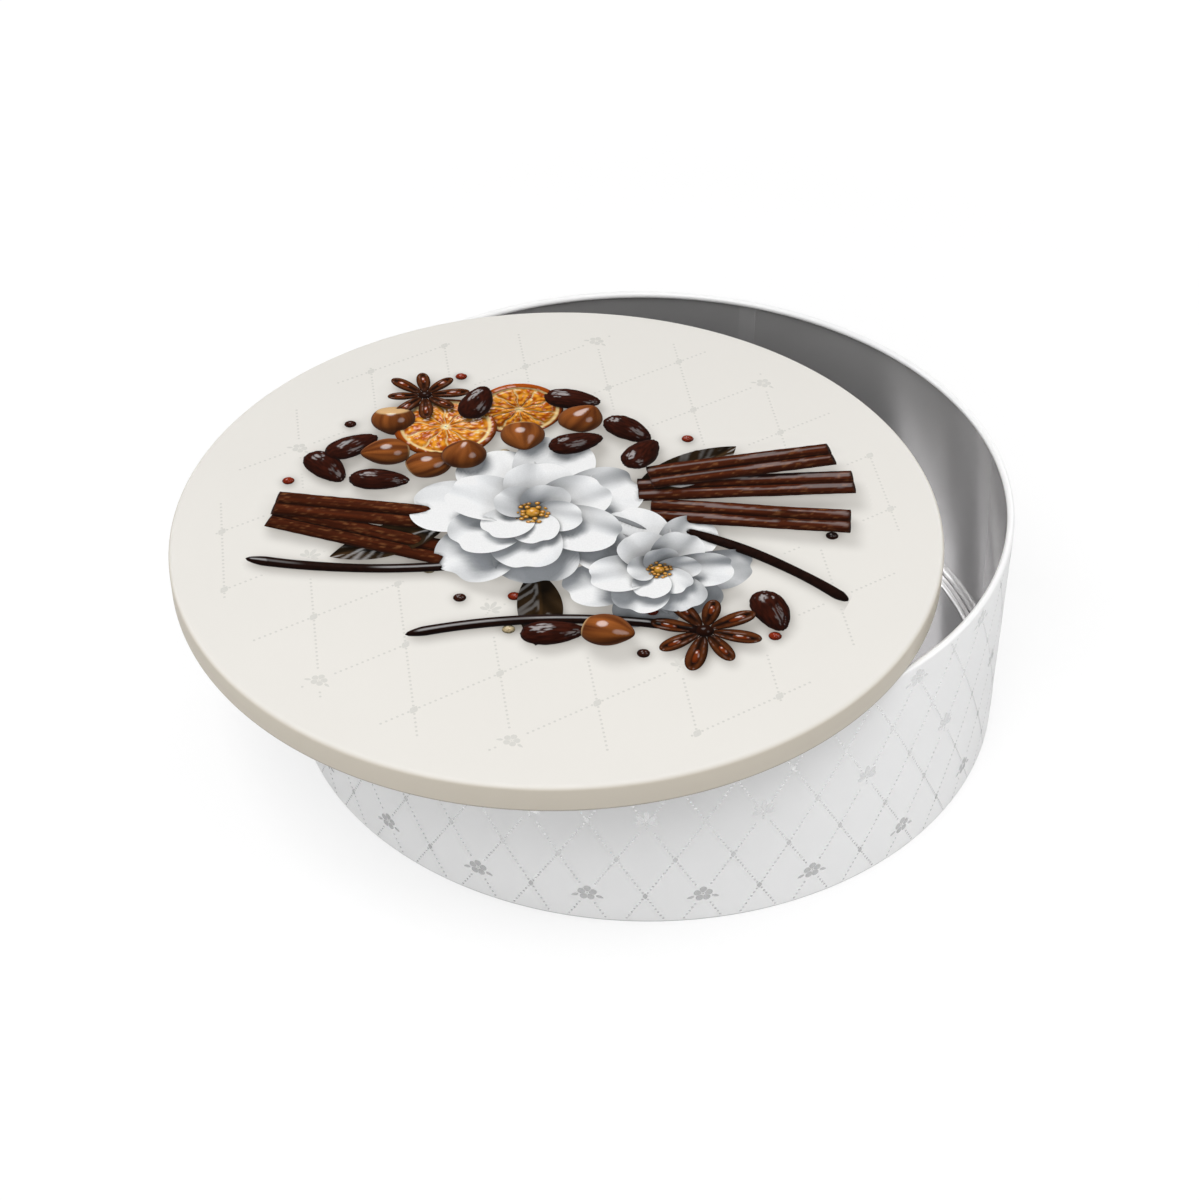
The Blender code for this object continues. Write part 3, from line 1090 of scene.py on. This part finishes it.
def orange_slice(seed):
    """A dried slice: rind, pith, and ten segments between pale walls."""
    bm = bmesh.new()
    tip = start_line(bm, HEART, 0.0)
    for step in range(1, ORANGE_RINGS + 1):
        tip = run_to(bm, tip, HEART + (ORANGE_RADIUS - HEART) * step / ORANGE_RINGS, 0.0)
    spin_round(bm, FULL_TURN, 150, use_merge=True)
    bmesh.ops.remove_doubles(bm, verts=bm.verts, dist=WELD / MM)
    deep, bright = tone("#B04E0C"), tone("#F0A030")
    pith, rind = tone("#F0D296"), tone("#A24A10")

    def wall(place):
        """1 on the walls between segments, 0 in the middle of one."""
        angle = math.atan2(place.y, place.x) / FULL_TURN * ORANGE_SEGMENTS
        return abs((angle + 0.06 * math.sin(place.length)) % 1.0 - 0.5) * 2

    def colour(place):
        reach, side = place.length, wall(place)
        angle = math.atan2(place.y, place.x)
        cells = rough(reach * 0.45, 7 * math.cos(angle), 7 * math.sin(angle), seed)
        flesh = deep.lerp(bright, smooth(cells, 0.3, 0.7))
        inner = flesh.lerp(pith, max(smooth(side, 0.86, 0.97), 1 - smooth(reach, 1.0, 2.0)))
        return inner.lerp(pith, smooth(reach, 12.4, 12.9)).lerp(rind, smooth(reach, 13.4, 13.9))

    tint(bm, colour, 0.5)
    for vert in bm.verts:
        reach, side = vert.co.length, wall(vert.co)
        bulge = 0.9 * (1 - side ** 6) * smooth(reach, 1, 4) * (1 - smooth(reach, 11.5, 12.6))
        edge = 0.9 * smooth(reach, 12.6, 13.8) - 2.6 * smooth(reach, 14.4, 15.5)
        wave = 0.8 * math.sin(2 * math.atan2(vert.co.y, vert.co.x) + seed) * reach / 15
        vert.co.z = bulge + edge + wave + 0.5 * noise.noise(vert.co * 0.8)
    return bm


print("motif: orange slice")

# %% Leaf and peppercorn
def bronze_leaf(length, width, seed):
    """A dried leaf with a sunk midrib and paired veins."""
    bm = bmesh.new()
    disc(bm, 26, 56)
    for vert in bm.verts:
        across, along = vert.co.x, (vert.co.y + 1) / 2
        half = across * width / 2 * math.sqrt(2.02 - 2 * along) * (0.55 + 0.65 * along)
        vein = math.sin(26 * (along - 0.22 * abs(across))) * smooth(abs(across), 0.05, 0.3)
        vert.co = (half + 2.5 * math.sin(2.2 * along + seed), length * along,
                   2.6 * abs(across) ** 0.8 + 0.30 * vein + 2.2 * math.sin(3 * along + seed))
    dark, light = tone("#120C06"), tone("#4A3620")

    def colour(place):
        along = place.y / length
        middle = abs(place.x - 2.5 * math.sin(2.2 * along + seed))
        cloud = rough(place.x * 0.25, place.y * 0.12, seed)
        return dark.lerp(light, 0.55 * cloud + 0.45 * (1 - smooth(middle, 0.2, 0.9)))

    tint(bm, colour, 0.35)
    return bm


def peppercorn(code, seed):
    """A small dried berry with a net of wrinkles."""
    bm = bmesh.new()
    bmesh.ops.create_icosphere(bm, subdivisions=4, radius=1.0)
    for vert in bm.verts:
        net = abs(noise.noise(vert.co * 3.2 + Vector((seed, 0, 0))))
        vert.co *= 1.9 - 0.30 * (1 - smooth(net, 0.0, 0.22))
    tint(bm, lambda place: tone(code) * (0.6 + 0.4 * smooth(place.length, 1.6, 1.9)), 0.35)
    return bm


print("motifs: leaf and peppercorn")

# %% [markdown]
# ### Arrangement
#
# The blossom lies in the middle. Sticks and pods cross behind it from lower left to upper
# right, nuts and orange are heaped at its upper left, and a star lies by itself at lower right.

# %% Places in the still life
STICKS = ((48, 34, 6, 27, -5, 66, 1.0), (54, 22, 5, 19, -4, 60, 4.2),
          (43, 43, 10, 36, -7, 58, 7.7), (-50, -24, 5, 16, 5, 60, 2.5),
          (-49, -35, 4, 6, 3, 56, 9.1))
PODS = ((-30, -44, 3, 280, 92, 160, 0.5), (22, -46, 3, 98, 88, 150, 3.5),
        (66, 4, 4, 66, 60, 130, 6.5))
LEAVES = ((18, 22, 3, -30, 36, 17, 0.3), (-26, -22, 3, 132, 36, 17, 1.9),
          (8, -30, 3, -160, 32, 15, 3.0))
ORANGES = ((-50, 25, 7, 12, -14, 1.05, 0.7), (-33, 43, 5, 50, 14, 0.92, 2.9))
NUTS = ((-26, 31, 12, 20, 60, 10, 1.1), (-60, 6, 8, -60, 75, 0, 2.2),
        (-46, 5, 8, 120, 70, 20, 3.3), (-13, 46, 8, 10, -65, 15, 4.4),
        (-38, 14, 14, 200, 55, 0, 5.5), (36, -45, 7, 100, 70, 0, 6.6),
        (-67, 22, 7, 30, 110, 0, 7.7))
BEANS = ((-9, 34, 10, 40, 12, 20, 0.4), (3, 47, 6, -20, 0, 10, 1.4),
         (-47, 41, 9, 100, 20, 0, 2.4), (-72, 4, 4, 60, 0, 12, 3.4),
         (12, 37, 9, 75, 15, 30, 4.4), (-20, 55, 5, 12, 0, 0, 5.4),
         (-74, -9, 4, -30, 0, 0, 6.4), (23, -52, 4, 30, 0, 0, 7.4),
         (76, -18, 4, -50, 0, 0, 8.4), (-56, -8, 5, 20, 8, 0, 9.4))
STARS = ((62, -34, 4, 10, 8, 1.1, 0.2), (-64, 38, 6, 30, -12, 0.9, 1.2))
BLACK, RED, WHITE_PEPPER = "#3A1A10", "#8C2F18", "#C9B58E"
BERRIES = ((-30, -37, BLACK), (-22, -41, WHITE_PEPPER), (-8, -49, BLACK), (6, -42, RED),
           (50, -50, BLACK), (45, -32, RED), (-81, -20, RED), (-78, 14, BLACK),
           (-27, 20, WHITE_PEPPER), (22, 50, RED), (28, 44, BLACK), (81, -28, RED),
           (80, 22, BLACK), (-58, 52, RED), (11, -56, WHITE_PEPPER))
BERRY_HEIGHT = 1.9
print(len(NUTS), "nuts,", len(BEANS), "beans and", len(BERRIES), "berries")

# %% Lay out the still life
for u, v, w, turn, lift, length, seed in STICKS:
    arrange(cinnamon(length, seed), "sticks", stand(u, v, w, turn, 0, lift))
for u, v, w, turn, length, bend, seed in PODS:
    arrange(vanilla(length, bend, seed), "pods", stand(u, v, w, turn))
for u, v, w, turn, length, width, seed in LEAVES:
    arrange(bronze_leaf(length, width, seed), "leaves", stand(u, v, w, turn), True)
for u, v, w, turn, tip, size, seed in ORANGES:
    arrange(orange_slice(seed), "nuts", stand(u, v, w, turn, tip, 0, size), True)
for motif, places in ((hazelnut, NUTS), (cocoa_bean, BEANS)):
    for u, v, w, turn, tip, roll, seed in places:
        arrange(motif(seed), "nuts", stand(u, v, w, turn, tip, roll))
for u, v, w, turn, tip, size, seed in STARS:
    arrange(star_anise(seed), "stars", stand(u, v, w, turn, tip, 0, size))
for u, v, code in BERRIES:
    arrange(peppercorn(code, u * 0.37), "nuts", stand(u, v, BERRY_HEIGHT, u * 7))
print(len(picture), "motifs,", sum(len(bm.verts) for group, bm, sheet in picture), "vertices")

# %% [markdown]
# ### Light and ink for the still life
#
# A lamp stands at the upper left and the sky fills in from all round. For each vertex, rays
# say how much of both it sees, which gives the shadows that one thing casts on another. Gloss
# is a bright window mirrored in the shape. The table gets the same light, for the soft shadows.

# %% Rays
SUN = Vector((-0.45, 0.52, 0.73)).normalized()
SUN_SPREAD = [(SUN + Vector(shift)).normalized() for shift in
              ((0.10, 0.06, 0), (-0.08, 0.10, 0), (-0.06, -0.10, 0), (0.09, -0.07, 0))]
SKY_RAYS = 18
GOLDEN_ANGLE = 2.39996
SKY_WAYS = []
for step in range(SKY_RAYS):
    height = (step + 0.5) / SKY_RAYS
    ring = math.sqrt(1 - height ** 2)
    SKY_WAYS.append(Vector((ring * math.cos(step * GOLDEN_ANGLE),
                            ring * math.sin(step * GOLDEN_ANGLE), height)))
SKY_TOTAL = sum(way.z for way in SKY_WAYS)
SHADOW_REACH = 26.0
OFF_SURFACE = 0.12
SUN_REACH = 200.0

corners, polygons = [], []
for group, bm, sheet in picture:
    first = len(corners)
    bm.verts.index_update()
    corners += [vert.co.copy() for vert in bm.verts]
    polygons += [[first + vert.index for vert in face.verts] for face in bm.faces]
still_life = BVHTree.FromPolygons(corners, polygons)


def light_at(place, normal):
    """How much sun and sky a point sees, each 1 for an open point that faces them."""
    start = place + normal * OFF_SURFACE
    sun = 0.0
    if normal.dot(SUN) > 0:
        sun = sum(still_life.ray_cast(start, way, SUN_REACH)[0] is None for way in SUN_SPREAD)
        sun *= normal.dot(SUN) / len(SUN_SPREAD)
    sky = 0.0
    for way in SKY_WAYS:
        facing = normal.dot(way)
        if facing > 0:
            distance = still_life.ray_cast(start, way, SHADOW_REACH)[3]
            sky += facing * (1.0 if distance is None else (distance / SHADOW_REACH) ** 0.7 * 0.6)
    return sun, sky / SKY_TOTAL


print(len(polygons), "faces to cast shadows")

# %% Light on a motif
SUNLIGHT = Vector((1.0137, 0.9932, 0.9589))
SKYLIGHT = Vector((0.32, 0.335, 0.35))
TABLE_LIGHT = Vector((0.06, 0.058, 0.055))
WINDOW = Vector((-0.50, 0.55, 0.67)).normalized()
SIDE_WINDOW = Vector((0.72, 0.10, 0.69)).normalized()
TURNED_AWAY = -0.25


def shade(bm, sheet):
    """Replace the ink layer's own colours by lit ones."""
    ink, shine = bm.verts.layers.float_color["ink"], bm.verts.layers.float["shine"]
    bm.normal_update()
    seen = {}
    for vert in bm.verts:
        normal = vert.normal.copy()
        if normal.z < 0 and sheet:
            normal.negate()
        if normal.z > TURNED_AWAY:
            seen[vert] = (normal, light_at(vert.co, normal))
    for vert, (normal, (sun, sky)) in seen.items():
        # The mean with the neighbours takes away the grain of the rays
        near = [seen[edge.other_vert(vert)][1] for edge in vert.link_edges
                if edge.other_vert(vert) in seen]
        for other_sun, other_sky in near:
            sun, sky = sun + other_sun, sky + other_sky
        sun, sky = sun / (len(near) + 1), sky / (len(near) + 1)
        mirror = 2 * normal.z * normal - UPWARD
        glare = smooth(mirror.dot(WINDOW), 0.90, 0.955) + 0.35 * smooth(
            mirror.dot(SIDE_WINDOW), 0.93, 0.98)
        haze = max(0.0, mirror.dot(WINDOW)) ** 14
        rim = 0.3 * (1 - clamp(normal.z)) ** 4
        gloss = vert[shine]
        mirrored = gloss * (0.75 * glare + 0.045 * haze + 0.35 * rim) + 0.002 * haze
        mirrored *= clamp(sky * 1.6)
        own = Vector(vert[ink][:3])
        table = (1 - normal.z) / 2
        lit = [own[i] * (SUNLIGHT[i] * sun + SKYLIGHT[i] * sky + TABLE_LIGHT[i] * table)
               + mirrored for i in range(3)]
        vert[ink] = (*(clamp(value, 0.001, 0.93) for value in lit), 1.0)


print("sunlight", tuple(round(value, 2) for value in SUNLIGHT))

# %% Pressing flat
PICTURE_DEPTH = 60.0
PICTURE_BASE = 0.016 * MM
PRESSED = 0.045 * MM


def press(bm, sheet):
    """Drop what faces away, flatten the rest into the ink and turn it onto the lid."""
    if sheet:
        back = [face for face in bm.faces if face.normal.z < 0]
        bmesh.ops.reverse_faces(bm, faces=back)
    else:
        back = [face for face in bm.faces if face.normal.z <= 0]
        bmesh.ops.delete(bm, geom=back, context="FACES")
    turned = Matrix.Rotation(PICTURE_TURN, 3, "Z")
    for vert in bm.verts:
        flat = Vector((vert.co.x, vert.co.y, 0.0)) * PICTURE_SIZE + PICTURE_SHIFT
        place = turned @ flat * MM
        place.z = PICTURE_BASE + clamp(vert.co.z / PICTURE_DEPTH) * PRESSED
        vert.co = place + Vector((LID_CENTRE.x, LID_CENTRE.y, lid_face))


print("picture pressed to", PRESSED / MM, "mm of ink")

# %% Picture ink
MOTTLE = 0.35 * MM


def picture_ink(name, on_enamel, gloss):
    """Process inks, printed over the varnish. On enamel they only darken the cream beneath."""
    mat, tree, output, place = new_material(name)
    ink = add(tree, "ShaderNodeAttribute", attribute_name="ink").outputs["Color"]
    if on_enamel:
        under = cream_enamel_colour(tree, place)
    else:
        under = clouded(tree, place, MOTTLE, ("#EDEDED", "#FFFFFF"), 1.0)[1]
    colour = add(tree, "ShaderNodeMix", {0: 1.0, 6: under, 7: ink}, data_type="RGBA",
                 blend_type="MULTIPLY").outputs[2]
    skin = add(tree, "ShaderNodeBsdfPrincipled", {
        "Base Color": colour, "Roughness": 0.38, "Normal": orange_peel(tree, place),
        "IOR": 1.5, "Specular IOR Level": gloss,
    })
    tree.links.new(skin.outputs[0], output.inputs["Surface"])
    return mat


process_ink = picture_ink("matt_process_ink", False, 0.008)
shadow_ink = picture_ink("varnished_shadow_ink", True, 0.5)
print("made", process_ink.name, "and", shadow_ink.name)

# %% Printed shadows on the ground
SHADOW_STEP = 1.0
SHADOW_HALF = (98.0, 76.0)
SHADOW_EDGE = 96.0
SUN_SHADE, SKY_SHADE, OPEN_GROUND = 0.32, 0.65, 0.08
SHADOW_DEPTHS = (0.86, 0.88, 0.90)
CLEAR_INK = 0.995
SHADOW_LIFT = 0.006 * MM


def ground_shade(place):
    """How far the motifs darken the ground at a place in the picture, 0 for open ground."""
    sun, sky = light_at(place, UPWARD)
    return SUN_SHADE * (1 - sun / SUN.z) + SKY_SHADE * smooth(1 - sky, OPEN_GROUND, 1.0)


bm = bmesh.new()
bmesh.ops.create_grid(
    bm, x_segments=int(2 * SHADOW_HALF[0] / SHADOW_STEP),
    y_segments=int(2 * SHADOW_HALF[1] / SHADOW_STEP), size=1.0,
    matrix=Matrix.Diagonal((SHADOW_HALF[0], SHADOW_HALF[1], 1.0, 1.0)))
ink = bm.verts.layers.float_color.new("ink")
dark = {vert: ground_shade(vert.co) if vert.co.length < SHADOW_HALF[0] else 0.0
        for vert in bm.verts}
for spread in range(3):
    dark = {vert: (dark[vert] + sum(dark[edge.other_vert(vert)] for edge in vert.link_edges))
            / (1 + len(vert.link_edges)) for vert in bm.verts}
for vert in bm.verts:
    vert[ink] = (*(1 - depth * dark[vert] for depth in SHADOW_DEPTHS), 1.0)
clear = [face for face in bm.faces if min(vert[ink][0] for vert in face.verts) > CLEAR_INK
         or max(vert.co.length for vert in face.verts) > SHADOW_EDGE]
bmesh.ops.delete(bm, geom=clear, context="FACES")
press(bm, True)
for vert in bm.verts:
    vert.co.z = lid_face + SHADOW_LIFT
finish_piece(bm, "picture_shadow_print", (shadow_ink,), "lid")

# %% [markdown]
# ## Lattice on the lid
#
# The lid's lattice is larger and lies turned on the round, because nobody lines a lid up with
# it. It fills a circle that ends a finger's width before the edge, and it is left out under the
# picture and its shadows, as a printer would knock it out. Last, the motifs are lit and pressed.

# %% Lid lattice's measures
LATTICE_ORIGIN = Vector((-7.71, 47.95)) * MM
LATTICE_ACROSS = Vector((19.95, 13.71)) * MM
LATTICE_UP = Vector((-4.02, 23.92)) * MM
LATTICE_REACH = 89.9 * MM
LATTICE_COLUMNS, LATTICE_ROWS = range(-7, 8), range(-9, 4)
LID_DOTS_PER_SIDE = 16
LID_DOT = 0.36 * MM
LID_PRINT_LIFT = 0.01 * MM
LID_MARK_SIZES = {"rosette": (6.6 * MM,), "sprig": (6.2 * MM,), "lozenge": (2.0 * MM, 3.0 * MM)}
FAINTEST_SHADE = 0.08


def lid_mark(across, up):
    """What is printed at a crossing of the lid's lattice."""
    if across % 2 and up % 2:
        return "rosette" if (across + up) % 4 == 2 else "sprig"
    return "lozenge"


def open_lid(place):
    """Whether the lattice is printed at this place: within its circle, off the picture."""
    if place.length > LATTICE_REACH:
        return False
    back = Matrix.Rotation(-PICTURE_TURN, 2) @ place / MM
    spot = (back - PICTURE_SHIFT.xy) / PICTURE_SIZE
    return ground_shade(Vector((spot.x, spot.y, 0.0))) <= FAINTEST_SHADE


print("lattice steps:", [round(way.length / MM, 1) for way in (LATTICE_ACROSS, LATTICE_UP)], "mm")

# %% Lid lattice
bm = bmesh.new()
for across in LATTICE_COLUMNS:
    for up in LATTICE_ROWS:
        here = LATTICE_ORIGIN + across * LATTICE_ACROSS + up * LATTICE_UP
        mark = lid_mark(across, up)
        for step_across, step_up in ((1, 0), (0, 1)):
            there = here + step_across * LATTICE_ACROSS + step_up * LATTICE_UP
            dotted_side(bm, (here, there), (mark, lid_mark(across + step_across, up + step_up)),
                        LID_DOTS_PER_SIDE, LID_DOT, 0, open_lid)
        if open_lid(here):
            MARKS[mark](bm, here.x, here.y, *LID_MARK_SIZES[mark], PICTURE_TURN)
bmesh.ops.translate(bm, vec=(LID_CENTRE.x, LID_CENTRE.y, lid_face + LID_PRINT_LIFT),
                    verts=bm.verts)
finish_piece(bm, "lid_lattice_print", (pearl_ink,), "lid")

# %% Print the motifs
groups = {}
for group, bm, sheet in picture:
    shade(bm, sheet)
    press(bm, sheet)
    part = bpy.data.meshes.new("part")
    bm.to_mesh(part)
    bm.free()
    if group not in groups:
        groups[group] = bmesh.new()
        groups[group].verts.layers.float_color.new("ink")
        groups[group].verts.layers.float.new("shine")
    groups[group].from_mesh(part)
    bpy.data.meshes.remove(part)
for group, bm in groups.items():
    finish_piece(bm, "picture_" + group + "_print", (process_ink,), "lid",
                 sharp=180)
